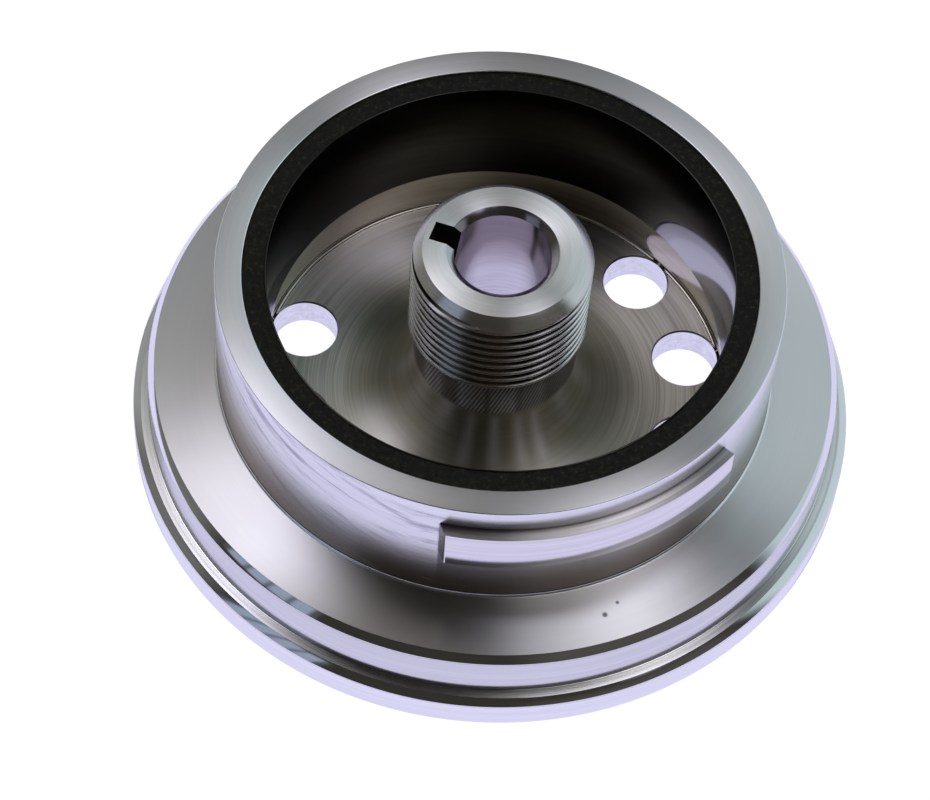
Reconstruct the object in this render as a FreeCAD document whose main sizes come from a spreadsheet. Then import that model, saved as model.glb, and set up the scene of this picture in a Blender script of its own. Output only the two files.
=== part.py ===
"""Magneto rotor: a turned steel cup with a stepped flange and a threaded hub, lined with arc magnets.

Millimetres. +Z is the crank's axis, pointing out of the open end of the cup. The origin is on the axis
in the plane of the back face, which the rotor rests on. The keyway lies to the left, near -X.
"""
import FreeCAD, Part

import os

import Sketcher

Vector = FreeCAD.Vector
Rotation = FreeCAD.Rotation

doc = FreeCAD.newDocument("magneto_rotor")
sizes = doc.addObject("Spreadsheet::Sheet", "Sizes")

DRIVING_SIZES = [
    # Cup
    ("rim_radius", 50.0, "outside of the cup"),
    ("rim_height", 44.0, "rim plane above the back face"),
    ("rim_wall", 4.8, "steel round the magnets"),
    ("rim_edge_chamfer", 0.35, "broken edges of the rim"),
    ("shoulder_height", 19.75, "shoulder under the magnets"),
    ("shoulder_width", 2.2, "shoulder under the magnets, radially"),
    ("floor_height", 8.6, "floor of the cup"),
    ("floor_corner_radius", 0.7, "corner between floor and bore"),
    # Flange
    ("flange_radius", 65.5, "lower, larger step"),
    ("ledge_height", 6.9, "top of the larger step"),
    ("ledge_chamfer_width", 1.4, "chamfer on the larger step, radially"),
    ("ledge_chamfer_drop", 1.0, "chamfer on the larger step, along the axis"),
    ("step_inset", 3.0, "upper, smaller step inside the larger one"),
    ("flange_edge_height", 16.9, "flange face at its outer edge"),
    ("flange_dish", 0.9, "rise of the flange face from its edge to the cup"),
    ("step_chamfer_width", 1.2, "chamfer on the smaller step, radially"),
    ("step_chamfer_drop", 1.45, "chamfer on the smaller step, along the axis"),
    ("foot_radius", 0.6, "fillet where the cup meets the flange"),
    ("back_edge_chamfer", 0.6, "broken edge of the back face"),
    # Back
    ("back_recess_inset", 4.0, "recess turned in the back, inside the cup's outside"),
    ("back_recess_depth", 2.8, "recess turned in the back"),
    ("hub_back_radius", 20.0, "ring round the bore at the back"),
    # Hub
    ("hub_height", 50.0, "hub's end face above the back face"),
    ("hub_chamfer", 2.0, "chamfer at the start of the thread"),
    ("thread_radius", 16.0, "M32 thread, crest"),
    ("thread_foot_height", 30.9, "lower end of the thread"),
    ("neck_radius", 14.7, "plain neck below the thread"),
    ("hub_fillet_radius", 13.5, "sweep from the neck to the floor"),
    # Bore
    ("taper_radius", 8.5, "small end of the crank taper"),
    ("taper_ratio", 5.0, "length of taper for one unit of diameter"),
    ("taper_length", 29.0, "length of the crank taper"),
    ("mouth_chamfer_width", 1.35, "lead-in of the bore, radially"),
    ("mouth_chamfer_depth", 1.0, "lead-in of the bore, along the axis"),
    ("bore_relief", 1.1, "clearance bore behind the taper, beyond its large end"),
    ("keyway_width", 4.0, "slot for the crank's key"),
    ("keyway_reach", 12.95, "bottom of the slot from the axis"),
    ("keyway_angle", 165.5, "direction of the slot, degrees from +X"),
    # Web holes
    ("web_hole_radius", 6.0, "six holes through the floor"),
    ("web_hole_inset", 6.55, "their centres from the wall of the lower bore"),
    ("web_hole_first", -14.7, "first hole of the first group, degrees from +X"),
    ("web_hole_pitch", 30.5, "angle between the three holes of a group"),
    # Trigger pad
    ("pad_top_height", 39.15, "top of the pad"),
    ("pad_length", 8.65, "height of the pad along the axis"),
    ("pad_rise", 2.15, "pad's face outside the cup"),
    ("pad_first", -96.1, "start of the pad, degrees from +X"),
    ("pad_span", 60.1, "arc that the pad covers"),
    # Magnets, moulding and sleeve
    ("magnet_wall", 3.9, "magnets, radially"),
    ("sleeve_wall", 0.3, "sheet of the sleeve"),
    ("moulding_base", 0.9, "moulding under the magnets"),
    ("magnet_length", 20.0, "magnets along the axis"),
    ("magnet_gap", 3.4, "angle between neighbouring magnets"),
    ("moulding_recess", 0.5, "top of the moulding below the rim"),
    ("sleeve_recess", 0.3, "top of the sleeve below the rim"),
]
MAGNETS = 12
HOLES_IN_GROUP = 3
HOLE_GROUPS = 2
SAME_PLACE = 1e-5

for row, (alias, value, note) in enumerate(DRIVING_SIZES, start=1):
    sizes.set("A%d" % row, alias)
    sizes.set("B%d" % row, str(value))
    sizes.set("C%d" % row, note)
    sizes.setAlias("B%d" % row, alias)
doc.recompute()


def size(expression):
    """Value of an expression over the sheet's names."""
    return float(sizes.evalExpression(expression))


def linked(expression):
    """The same expression as another object writes it."""
    words = expression.replace("(", "( ").replace(")", " )").split()
    known = {alias for alias, value, note in DRIVING_SIZES}
    return " ".join("Sizes." + word if word in known else word for word in words)


def new_body(label):
    body = doc.addObject("PartDesign::Body", label)
    body.Label = label
    return body


def plane_of(body, role):
    return next(item for item in body.Origin.OriginFeatures if item.Role == role)


def sketch_on(body, name, role, turn_axis=None, turn="0"):
    """A sketch on one of the body's own planes, turned about the rotor's axis by an expression."""
    sketch = body.newObject("Sketcher::SketchObject", name)
    sketch.AttachmentSupport = [(plane_of(body, role), "")]
    sketch.MapMode = "FlatFace"
    if turn_axis is not None:
        sketch.AttachmentOffset = FreeCAD.Placement(Vector(0, 0, 0), Rotation(turn_axis, size(turn)))
        sketch.setExpression("AttachmentOffset.Rotation.Angle", linked(turn))
    return sketch


def draw_outline(sketch, corners):
    """Closed outline; each corner is a pair of expressions, held by its distances from the origin."""
    places = [Vector(size(across), size(up), 0) for across, up in corners]
    count = len(corners)
    for index in range(count):
        sketch.addGeometry(Part.LineSegment(places[index], places[(index + 1) % count]), False)
    for index in range(count):
        sketch.addConstraint(Sketcher.Constraint("Coincident", index, 2, (index + 1) % count, 1))
    for index, (across, up) in enumerate(corners):
        place = places[index]
        for kind, expression, value in (("DistanceX", across, place.x), ("DistanceY", up, place.y)):
            if expression == "0":
                other_axis = -2 if kind == "DistanceX" else -1
                sketch.addConstraint(Sketcher.Constraint("PointOnObject", index, 1, other_axis))
                continue
            number = sketch.addConstraint(Sketcher.Constraint(kind, -1, 1, index, 1, value))
            sketch.setExpression("Constraints[%d]" % number, linked(expression))


def draw_circle(sketch, centre, radius):
    """Circle on the sketch's first axis."""
    sketch.addGeometry(Part.Circle(Vector(size(centre), 0, 0), Vector(0, 0, 1), size(radius)), False)
    sketch.addConstraint(Sketcher.Constraint("PointOnObject", 0, 3, -1))
    place = sketch.addConstraint(Sketcher.Constraint("DistanceX", -1, 1, 0, 3, size(centre)))
    sketch.setExpression("Constraints[%d]" % place, linked(centre))
    width = sketch.addConstraint(Sketcher.Constraint("Radius", 0, size(radius)))
    sketch.setExpression("Constraints[%d]" % width, linked(radius))


def revolve(body, name, corners, turn="0", arc=None, cut=False):
    """Turn an outline of (radius, height) about the rotor's axis, all round or through an arc."""
    sketch = sketch_on(body, name + "_outline", "XZ_Plane", Vector(0, 1, 0), turn)
    draw_outline(sketch, corners)
    kind = "PartDesign::Groove" if cut else "PartDesign::Revolution"
    feature = body.newObject(kind, name)
    feature.Profile = sketch
    feature.ReferenceAxis = (sketch, ["V_Axis"])
    if arc is None:
        feature.Angle = 360
    else:
        feature.Angle = size(arc)
        feature.setExpression("Angle", linked(arc))
    doc.recompute()
    return feature


def pocket_through(body, name, sketch, above=True):
    """Cut a sketch on the XY plane through everything above it."""
    before = body.Tip.Shape.Volume
    feature = body.newObject("PartDesign::Pocket", name)
    feature.Profile = sketch
    feature.Type = "ThroughAll"
    feature.Reversed = above
    doc.recompute()
    if not feature.Shape.Volume < before:
        raise RuntimeError(name + " cuts nothing")
    return feature


def circle_edges(feature, places):
    """Names of the full circles round the axis at each (radius, height) pair of expressions."""
    wanted = [(size(radius), size(height)) for radius, height in places]
    names = []
    for number, edge in enumerate(feature.Shape.Edges, start=1):
        curve = edge.Curve
        if curve.TypeId != "Part::GeomCircle":
            continue
        on_axis = abs(curve.Center.x) < SAME_PLACE and abs(curve.Center.y) < SAME_PLACE
        for radius, height in wanted:
            same_radius = abs(curve.Radius - radius) < SAME_PLACE
            same_height = abs(curve.Center.z - height) < SAME_PLACE
            if on_axis and same_radius and same_height:
                names.append("Edge%d" % number)
    if len(names) != len(wanted):
        raise RuntimeError("expected %d edges on %s, found %d" % (len(wanted), feature.Name, len(names)))
    return names


def dress(body, kind, name, places, amount):
    """Fillet or chamfer of one size on circles round the axis."""
    base = body.Tip
    feature = body.newObject("PartDesign::" + kind, name)
    feature.Base = (base, circle_edges(base, places))
    sized = "Radius" if kind == "Fillet" else "Size"
    setattr(feature, sized, size(amount))
    feature.setExpression(sized, linked(amount))
    doc.recompute()
    return feature


RIM_BORE = "( rim_radius - rim_wall )"
POCKET_BORE = "( rim_radius - rim_wall - shoulder_width )"
STEP_RADIUS = "( flange_radius - step_inset )"
TAPER_END_RADIUS = "taper_radius + taper_length / ( 2 * taper_ratio )"
TAPER_END_HEIGHT = "hub_height - taper_length"
WEB_BACK = "back_recess_depth"
RECESS_RADIUS = "rim_radius - back_recess_inset"
FLANGE_ROOT = "flange_edge_height + flange_dish"
MOUTH_RADIUS = "taper_radius + mouth_chamfer_width"


def turned_blank(body):
    """The whole section of the one-piece steel rotor, from the bore at the back round to the bore's mouth."""
    back = [
        (TAPER_END_RADIUS + " + bore_relief", "0"),
        ("hub_back_radius", "0"),
        ("hub_back_radius", WEB_BACK),
        (RECESS_RADIUS, WEB_BACK),
        (RECESS_RADIUS, "0"),
    ]
    flange = [
        ("flange_radius", "0"),
        ("flange_radius", "ledge_height - ledge_chamfer_drop"),
        ("flange_radius - ledge_chamfer_width", "ledge_height"),
        (STEP_RADIUS, "ledge_height"),
        (STEP_RADIUS, "flange_edge_height - step_chamfer_drop"),
        (STEP_RADIUS + " - step_chamfer_width", "flange_edge_height"),
    ]
    cup = [
        ("rim_radius", FLANGE_ROOT),
        ("rim_radius", "rim_height"),
        (RIM_BORE, "rim_height"),
        (RIM_BORE, "shoulder_height"),
        (POCKET_BORE, "shoulder_height"),
        (POCKET_BORE, "floor_height"),
    ]
    hub = [
        ("neck_radius", "floor_height"),
        ("neck_radius", "thread_foot_height"),
        ("thread_radius", "thread_foot_height"),
        ("thread_radius", "hub_height"),
        (MOUTH_RADIUS, "hub_height"),
        ("taper_radius", "hub_height - mouth_chamfer_depth"),
        (TAPER_END_RADIUS, TAPER_END_HEIGHT),
        (TAPER_END_RADIUS + " + bore_relief", TAPER_END_HEIGHT),
    ]
    return revolve(body, "Blank", back + flange + cup + hub)


def rotor_body():
    """Cup, flange, hub and trigger pad, all of one forging."""
    body = new_body("rotor_body")
    turned_blank(body)
    dress(body, "Fillet", "HubSweep", [("neck_radius", "floor_height")], "hub_fillet_radius")
    dress(body, "Fillet", "FloorCorner", [(POCKET_BORE, "floor_height")], "floor_corner_radius")
    dress(body, "Fillet", "CupFoot", [("rim_radius", FLANGE_ROOT)], "foot_radius")
    dress(body, "Chamfer", "HubChamfer", [("thread_radius", "hub_height")], "hub_chamfer")
    rim_edges = [("rim_radius", "rim_height"), (RIM_BORE, "rim_height")]
    dress(body, "Chamfer", "RimEdges", rim_edges, "rim_edge_chamfer")
    dress(body, "Chamfer", "BackEdge", [("flange_radius", "0")], "back_edge_chamfer")

    pad_foot = "pad_top_height - pad_length"
    pad_root = "rim_radius - rim_wall / 2"
    pad_face = "rim_radius + pad_rise"
    pad_top = "pad_top_height"
    pad = [(pad_root, pad_foot), (pad_face, pad_foot), (pad_face, pad_top), (pad_root, pad_top)]
    revolve(body, "TriggerPad", pad, turn="pad_first", arc="pad_span")

    keyway = sketch_on(body, "KeywayOutline", "XY_Plane", Vector(0, 0, 1), "keyway_angle")
    half = "keyway_width / 2"
    draw_outline(keyway, [
        ("0", "0 - " + half), ("keyway_reach", "0 - " + half), ("keyway_reach", half), ("0", half)])
    pocket_through(body, "Keyway", keyway)

    for group in range(HOLE_GROUPS):
        turn = "web_hole_first + %g" % (group * 360.0 / HOLE_GROUPS)
        outline = sketch_on(body, "WebHoleOutline%d" % group, "XY_Plane", Vector(0, 0, 1), turn)
        draw_circle(outline, POCKET_BORE + " - web_hole_inset", "web_hole_radius")
        hole = pocket_through(body, "WebHole%d" % group, outline)
        pattern = body.newObject("PartDesign::PolarPattern", "WebHoles%d" % group)
        pattern.Originals = [hole]
        pattern.Axis = (outline, ["N_Axis"])
        pattern.Angle = size("web_hole_pitch * %d" % (HOLES_IN_GROUP - 1))
        pattern.setExpression("Angle", linked("web_hole_pitch * %d" % (HOLES_IN_GROUP - 1)))
        pattern.Occurrences = HOLES_IN_GROUP
        body.Tip = pattern
        doc.recompute()
    return body


MAGNET_INNER = RIM_BORE + " - magnet_wall"
MAGNET_FOOT = "shoulder_height + moulding_base"
MAGNET_TOP = MAGNET_FOOT + " + magnet_length"
MAGNET_ARC = "%g - magnet_gap" % (360.0 / MAGNETS)
MAGNET_SECTION = [
    (MAGNET_INNER, MAGNET_FOOT), (RIM_BORE, MAGNET_FOOT),
    (RIM_BORE, MAGNET_TOP), (MAGNET_INNER, MAGNET_TOP)]


def magnet(number):
    """One arc magnet, held against the steel wall."""
    body = new_body("magnet_%02d" % (number + 1))
    turn = "%g + magnet_gap / 2" % (number * 360.0 / MAGNETS)
    revolve(body, "Magnet%02d" % (number + 1), MAGNET_SECTION, turn=turn, arc=MAGNET_ARC)
    return body


def magnet_moulding():
    """Black moulding that covers the magnets' ends and fills the gaps between them."""
    body = new_body("magnet_moulding")
    top = "rim_height - moulding_recess"
    revolve(body, "Ring", [
        (MAGNET_INNER, "shoulder_height"), (RIM_BORE, "shoulder_height"),
        (RIM_BORE, top), (MAGNET_INNER, top)])
    first = revolve(body, "MagnetSpace", MAGNET_SECTION, turn="magnet_gap / 2", arc=MAGNET_ARC, cut=True)
    pattern = body.newObject("PartDesign::PolarPattern", "MagnetSpaces")
    pattern.Originals = [first]
    pattern.Axis = (plane_of(body, "Z_Axis"), [""])
    pattern.Angle = 360
    pattern.Occurrences = MAGNETS
    body.Tip = pattern
    doc.recompute()
    return body


def magnet_sleeve():
    """Thin steel sleeve that lines the magnets."""
    body = new_body("magnet_sleeve")
    top = "rim_height - sleeve_recess"
    bore = MAGNET_INNER + " - sleeve_wall"
    revolve(body, "Sleeve", [
        (bore, "shoulder_height"), (MAGNET_INNER, "shoulder_height"), (MAGNET_INNER, top), (bore, top)])
    return body


pieces = [rotor_body(), magnet_moulding(), magnet_sleeve()]
pieces += [magnet(number) for number in range(MAGNETS)]
doc.recompute()

for item in doc.Objects:
    if "Invalid" in item.State or "Error" in item.State:
        raise RuntimeError("%s failed: %s" % (item.Name, item.State))

os.makedirs("parts", exist_ok=True)
for piece in pieces:
    shape = piece.Shape
    if shape.isNull() or not shape.isValid() or len(shape.Solids) != 1:
        raise RuntimeError(piece.Label + " is not one valid solid")
    shape.exportStep("parts/%s.step" % piece.Label)
    print("%-18s %10.1f mm3  %d faces" % (piece.Label, shape.Volume, len(shape.Faces)))
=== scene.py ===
"""Dressed view of the magneto rotor: fine turned steel, a true helical thread, black moulding and studio light.

Lengths in the tables are millimetres; Blender's units are metres, in the frame of the solids.
"""

import math
from collections import namedtuple

import bmesh
import bpy
from mathutils import Matrix, Vector


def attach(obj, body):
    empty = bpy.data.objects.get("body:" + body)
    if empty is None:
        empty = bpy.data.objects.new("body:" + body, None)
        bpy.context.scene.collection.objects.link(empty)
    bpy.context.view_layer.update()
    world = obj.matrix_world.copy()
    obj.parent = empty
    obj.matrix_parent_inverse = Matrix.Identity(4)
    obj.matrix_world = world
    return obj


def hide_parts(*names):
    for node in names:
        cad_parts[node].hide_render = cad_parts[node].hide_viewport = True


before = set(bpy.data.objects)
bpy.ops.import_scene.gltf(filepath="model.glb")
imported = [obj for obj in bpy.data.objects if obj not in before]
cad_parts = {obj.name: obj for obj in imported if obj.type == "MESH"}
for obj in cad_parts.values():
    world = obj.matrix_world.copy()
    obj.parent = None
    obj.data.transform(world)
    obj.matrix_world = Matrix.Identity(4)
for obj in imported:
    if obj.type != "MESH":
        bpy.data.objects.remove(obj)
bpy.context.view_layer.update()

MM = 0.001
SCENE = bpy.context.scene

# Camera: solved from the circles of the rim, the flange and the hub.
CAMERA_DISTANCE = 580.0
CAMERA_ELEVATION = math.radians(53.633)
CAMERA_AIM_HEIGHT = 44.0
CAMERA_YAW = math.radians(-0.437)
CAMERA_PITCH = math.radians(-2.2547)
CAMERA_ROLL = math.radians(-4.872)
CAMERA_LENS = 128.68


def make_camera():
    """Camera at the photograph's viewing angle, first aimed at the axis and then turned a little."""
    data = bpy.data.cameras.new("camera")
    camera = bpy.data.objects.new("camera", data)
    SCENE.collection.objects.link(camera)
    data.sensor_fit = "HORIZONTAL"
    data.sensor_width = 36.0
    data.lens = CAMERA_LENS
    data.clip_start = 0.01
    data.clip_end = 50.0
    sine, cosine = math.sin(CAMERA_ELEVATION), math.cos(CAMERA_ELEVATION)
    forward = Vector((0.0, cosine, -sine))
    right = Vector((1.0, 0.0, 0.0))
    down = forward.cross(right)
    aim = Matrix((right, down, forward)).transposed()
    yaw = Matrix.Rotation(CAMERA_YAW, 3, "Y")
    pitch = Matrix.Rotation(CAMERA_PITCH, 3, "X")
    roll = Matrix.Rotation(CAMERA_ROLL, 3, "Z")
    turned = aim @ yaw @ pitch @ roll
    x_axis, y_axis, z_axis = turned.col[0], -turned.col[1], -turned.col[2]
    matrix = Matrix((x_axis, y_axis, z_axis)).transposed().to_4x4()
    height = CAMERA_AIM_HEIGHT + CAMERA_DISTANCE * sine
    matrix.translation = Vector((0.0, -CAMERA_DISTANCE * cosine, height)) * MM
    camera.matrix_world = matrix
    SCENE.camera = camera


make_camera()
SCENE.view_settings.view_transform = "Standard"


# Shapes of the rotor, in millimetres.

AROUND = 512
HUB_TOP = 50.0
HUB_CHAMFER = 2.0
BOSS_RADIUS = 14.0
MOUTH_RADIUS = 9.85
TAPER_RADIUS = 8.5
TAPER_TOP = 49.0
TAPER_FOOT = 21.0
TAPER_RATIO = 10
TAPER_RELIEF = 1.1
THREAD_RADIUS = 16.0
THREAD_ROOT = 14.77
THREAD_FOOT = 30.9
THREAD_STEPS = 192
THREAD_START = 26.857
THREAD_TURNS = 10.75
PITCH = 2.0
CREST_ROUND = 0.22
RUN_OUT_STEPS = 36
RUN_OUT_RISE = 1.4
NECK = 14.7
SWEEP = 13.5
FLOOR = 8.6
WEB_RINGS = (42.1, 38.0, 34.0, 30.5, 28.6)
WEB_BACK = 2.8
RECESS_INNER = 20.0
RECESS_OUTER = 46.0
POCKET = 43.0
SHOULDER = 19.75
RIM_TOP = 44.0
RIM_RADIUS = 50.0
RIM_BORE = 45.2
LIP_ROUND = 0.3
FOOT_ROUND = 0.7
FLANGE_RADIUS = 65.5
FLANGE_TOP = 5.9
BACK_CHAMFER = 0.6
LEDGE_RADIUS = 64.1
LEDGE_HEIGHT = 6.9
STEP_RADIUS = 62.5
STEP_TOP = 15.45
EDGE_ROUND = 0.3
FACE_RADIUS = 61.3
FACE_EDGE = 16.9
FACE_FOOT = 17.8
KEY_ANGLE = math.radians(165.5)
KEY_START = 4.0
KEY_REACH = 12.95
KEY_WIDTH = 4.0
HOLE_RADIUS = 6.0
HOLE_CHAMFER = 0.3
HOLE_CIRCLE = 36.45
HOLE_ANGLES = [-14.7, 15.8, 46.3, 165.3, 195.8, 226.3]
PAD_FIRST = -96.1
PAD_SPAN = 60.1
PAD_RADIUS = 52.15
PAD_TOP = 39.15
PAD_FOOT = 30.5
PAD_ROUND = 0.15
PAD_RUN_OUT = 1.6
PAD_OVERLAP = 0.2
PAD_STEPS = 96
INTO_WALL = 1.5
CUT_PAST = 5.0
SHARP_ANGLE = math.radians(32)

# Largest rounding in millimetres, and the pieces that its arc has.
ROUNDING_PIECES = [(0.2, 2), (1.0, 4), (math.inf, 24)]


def rounded(corners):
    """Outline of (radius, height) points from corners of (radius, height, rounding)."""
    outline = []
    count = len(corners)
    for index, (across, up, round_radius) in enumerate(corners):
        here = Vector((across, up))
        if round_radius <= 0:
            outline.append(here)
            continue
        before = Vector(corners[index - 1][:2]) - here
        after = Vector(corners[(index + 1) % count][:2]) - here
        before.normalize()
        after.normalize()
        half = before.angle(after) / 2
        reach = round_radius / math.tan(half)
        centre = here + (before + after).normalized() * (round_radius / math.sin(half))
        start = here + before * reach - centre
        end = here + after * reach - centre
        sweep = start.angle_signed(end)
        pieces = next(number for largest, number in ROUNDING_PIECES if round_radius <= largest)
        for step in range(pieces + 1):
            turn = -sweep * step / pieces
            cosine, sine = math.cos(turn), math.sin(turn)
            point = Vector((start.x * cosine - start.y * sine, start.x * sine + start.y * cosine))
            outline.append(centre + point)
    return outline


def mesh_of(name, points, faces):
    """Checked mesh of points in metres, and of faces."""
    mesh = bpy.data.meshes.new(name)
    mesh.from_pydata([tuple(point) for point in points], [], faces)
    mesh.validate()
    mesh.update()
    return mesh


def turn_outline(name, outline, around=AROUND, first=0.0, span=360.0):
    """Closed outline turned about the axis, all round or through an arc with closed ends."""
    whole = span >= 360.0
    stations = around if whole else around + 1
    points = []
    for station in range(stations):
        angle = math.radians(first + span * station / around)
        cosine, sine = math.cos(angle) * MM, math.sin(angle) * MM
        points.extend((point[0] * cosine, point[0] * sine, point[1] * MM) for point in outline)
    count = len(outline)
    faces = []
    for station in range(around):
        here = station * count
        there = ((station + 1) % stations) * count
        for index in range(count):
            after = (index + 1) % count
            faces.append((here + index, there + index, there + after, here + after))
    if not whole:
        faces.append(tuple(range(count)))
        faces.append(tuple(reversed(range(around * count, around * count + count))))
    return mesh_of(name, points, faces)


def helix_section():
    """Section of the thread's groove about its middle: a trapezoid that opens into rounded crests."""
    half_root = PITCH / 16
    slope = math.tan(math.radians(30))
    half_mouth = half_root + (THREAD_RADIUS - THREAD_ROOT) * slope + CREST_ROUND * slope
    upper = [(THREAD_ROOT, half_root)]
    for turn in (60, 40, 20, 0):
        cosine, sine = math.cos(math.radians(turn)), math.sin(math.radians(turn))
        upper.append((THREAD_RADIUS - CREST_ROUND * (1 - cosine), half_mouth - CREST_ROUND * sine))
    upper.append((THREAD_RADIUS + 0.25, upper[-1][1]))
    lower = [(radius, -up) for radius, up in upper]
    return [lower[0]] + upper + list(reversed(lower[1:]))


def helix_cutter():
    """Closed groove of the thread, wound up the hub and lifted out of it over its last steps."""
    section = helix_section()
    count = len(section)
    stations = int(THREAD_TURNS * THREAD_STEPS)
    points, faces = [], []
    for station in range(stations + 1):
        angle = 2 * math.pi * station / THREAD_STEPS
        rise = THREAD_START + PITCH * station / THREAD_STEPS
        cosine, sine = math.cos(angle), math.sin(angle)
        lift = RUN_OUT_RISE * max(0.0, 1 - (stations - station) / RUN_OUT_STEPS) ** 2
        points.extend(((radius + lift) * cosine * MM, (radius + lift) * sine * MM, (rise + up) * MM)
                      for radius, up in section)
    for station in range(stations):
        here, there = station * count, (station + 1) * count
        for index in range(count):
            after = (index + 1) % count
            faces.append((here + after, there + after, there + index, here + index))
    faces.append(tuple(range(count)))
    faces.append(tuple(reversed(range(stations * count, stations * count + count))))
    return mesh_of("thread_groove", points, faces)


def round_cutter(x, y, low_radius, high_radius, low, high, steps=128):
    """Closed cylinder or cone between two heights, its axis upright at x, y."""
    points, faces = [], []
    for radius, height in ((low_radius, low), (high_radius, high)):
        for step in range(steps):
            angle = 2 * math.pi * step / steps
            across, up = x + radius * math.cos(angle), y + radius * math.sin(angle)
            points.append((across * MM, up * MM, height * MM))
    for step in range(steps):
        after = (step + 1) % steps
        faces.append((step, after, steps + after, steps + step))
    faces.append(tuple(reversed(range(steps))))
    faces.append(tuple(range(steps, 2 * steps)))
    return mesh_of("cutter", points, faces)


def upright_prism(name, plan, low, high):
    """Closed prism on a plan of x, y points between two heights."""
    points = [(x * MM, y * MM, height * MM) for height in (low, high) for x, y in plan]
    count = len(plan)
    faces = [tuple(reversed(range(count))), tuple(range(count, 2 * count))]
    faces += [(i, (i + 1) % count, count + (i + 1) % count, count + i) for i in range(count)]
    return mesh_of(name, points, faces)


def run_out_mesh(inner):
    """Wedge that leads from the cup's wall up to the left end of the pad."""
    plan = [(inner, PAD_FIRST - PAD_RUN_OUT), (RIM_RADIUS, PAD_FIRST - PAD_RUN_OUT), (PAD_RADIUS, PAD_FIRST),
            (PAD_RADIUS, PAD_FIRST + PAD_OVERLAP), (inner, PAD_FIRST + PAD_OVERLAP)]
    turned = [(radius * math.cos(math.radians(angle)), radius * math.sin(math.radians(angle)))
              for radius, angle in plan]
    return upright_prism("run_out", turned, PAD_FOOT, PAD_TOP)


def keyway_mesh():
    """Upright bar that cuts the keyway from the bore outwards."""
    along = Vector((math.cos(KEY_ANGLE), math.sin(KEY_ANGLE)))
    across = Vector((-along.y, along.x)) * (KEY_WIDTH / 2)
    near, far = along * KEY_START, along * KEY_REACH
    return upright_prism("keyway", [near - across, far - across, far + across, near + across],
                         -CUT_PAST, HUB_TOP + CUT_PAST)


def outward(mesh):
    """Face normals made consistent and outward."""
    work = bmesh.new()
    work.from_mesh(mesh)
    bmesh.ops.recalc_face_normals(work, faces=work.faces)
    work.to_mesh(mesh)
    work.free()
    return mesh


def combine(base, tools, operation):
    """Base mesh with each tool mesh cut from it or joined to it."""
    holder = bpy.data.objects.new("holder", outward(base))
    SCENE.collection.objects.link(holder)
    helpers = []
    for number, mesh in enumerate(tools):
        helper = bpy.data.objects.new("helper%d" % number, outward(mesh))
        SCENE.collection.objects.link(helper)
        helpers.append(helper)
        modifier = holder.modifiers.new("cut%d" % number, "BOOLEAN")
        modifier.operation = operation
        modifier.solver = "MANIFOLD"
        modifier.object = helper
    graph = bpy.context.evaluated_depsgraph_get()
    result = bpy.data.meshes.new_from_object(holder.evaluated_get(graph))
    for item in helpers + [holder]:
        bpy.data.objects.remove(item)
    return result


def rotor_outline():
    """Half section of the steel body, from the foot of the taper outwards and back up the bore."""
    taper_end = TAPER_RADIUS + (HUB_TOP - TAPER_FOOT) / TAPER_RATIO
    relief = taper_end + TAPER_RELIEF
    corners = [
        (relief, 0.0, 0.3), (RECESS_INNER, 0.0, 0.2), (RECESS_INNER, WEB_BACK, 0.2),
        (RECESS_OUTER, WEB_BACK, 0.2), (RECESS_OUTER, 0.0, 0.2),
        (FLANGE_RADIUS - BACK_CHAMFER, 0.0, 0.1), (FLANGE_RADIUS, BACK_CHAMFER, 0.1),
        (FLANGE_RADIUS, FLANGE_TOP, EDGE_ROUND), (LEDGE_RADIUS, LEDGE_HEIGHT, 0.15),
        (STEP_RADIUS, LEDGE_HEIGHT, 0.12), (STEP_RADIUS, STEP_TOP, EDGE_ROUND), (FACE_RADIUS, FACE_EDGE, 0.15),
        (RIM_RADIUS, FACE_FOOT, FOOT_ROUND), (RIM_RADIUS, RIM_TOP, 0.22), (RIM_BORE, RIM_TOP, LIP_ROUND),
        (RIM_BORE, SHOULDER, 0.1), (POCKET, SHOULDER, 0.15), (POCKET, FLOOR, 0.7)]
    corners += [(radius, FLOOR, 0) for radius in WEB_RINGS]
    corners += [
        (NECK, FLOOR, SWEEP), (NECK, THREAD_FOOT, 0.15), (THREAD_RADIUS, THREAD_FOOT, 0.05),
        (THREAD_RADIUS, HUB_TOP - HUB_CHAMFER, 0.05), (BOSS_RADIUS, HUB_TOP, 0.12),
        (MOUTH_RADIUS, HUB_TOP, 0.08), (TAPER_RADIUS, TAPER_TOP, 0.05), (taper_end, TAPER_FOOT, 0.05),
        (relief, TAPER_FOOT, 0.05)]
    return rounded(corners)


def hub_region(radius, height, up, outward_share):
    """Finish of a face of the hub, from the thread's foot up."""
    in_mouth = radius < BOSS_RADIUS - 0.8 and up < 0.9
    if outward_share < -0.2 or radius < MOUTH_RADIUS + 0.35 or in_mouth:
        return "bore"
    if up > 0.95:
        return "boss"
    on_chamfer = abs(radius + height - BOSS_RADIUS - HUB_TOP) < 0.06 and up > 0.4
    return "hub_edge" if on_chamfer else "thread"


def narrow_region(radius, height, up):
    """Finish of a face on the flange's edges, lower ledge and chamfer, or None elsewhere."""
    if radius > FLANGE_RADIUS - 0.3 and height > FLANGE_TOP - 0.4 and 0.05 < up < 0.78:
        return "edge"
    on_step = STEP_RADIUS - 0.3 < radius < STEP_RADIUS + 0.5 and abs(height - STEP_TOP) < 0.35
    if on_step and 0.05 < up < 0.6:
        return "edge"
    on_ledge = STEP_RADIUS - 0.1 < radius < LEDGE_RADIUS + 0.1
    if on_ledge and LEDGE_HEIGHT - 0.4 < height < LEDGE_HEIGHT + 0.3 and up > 0.95:
        return "low_ledge"
    if radius > FACE_RADIUS - 0.1 and height < FACE_FOOT + 0.2 and up > 0.2:
        return "chamfer"
    return None


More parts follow.
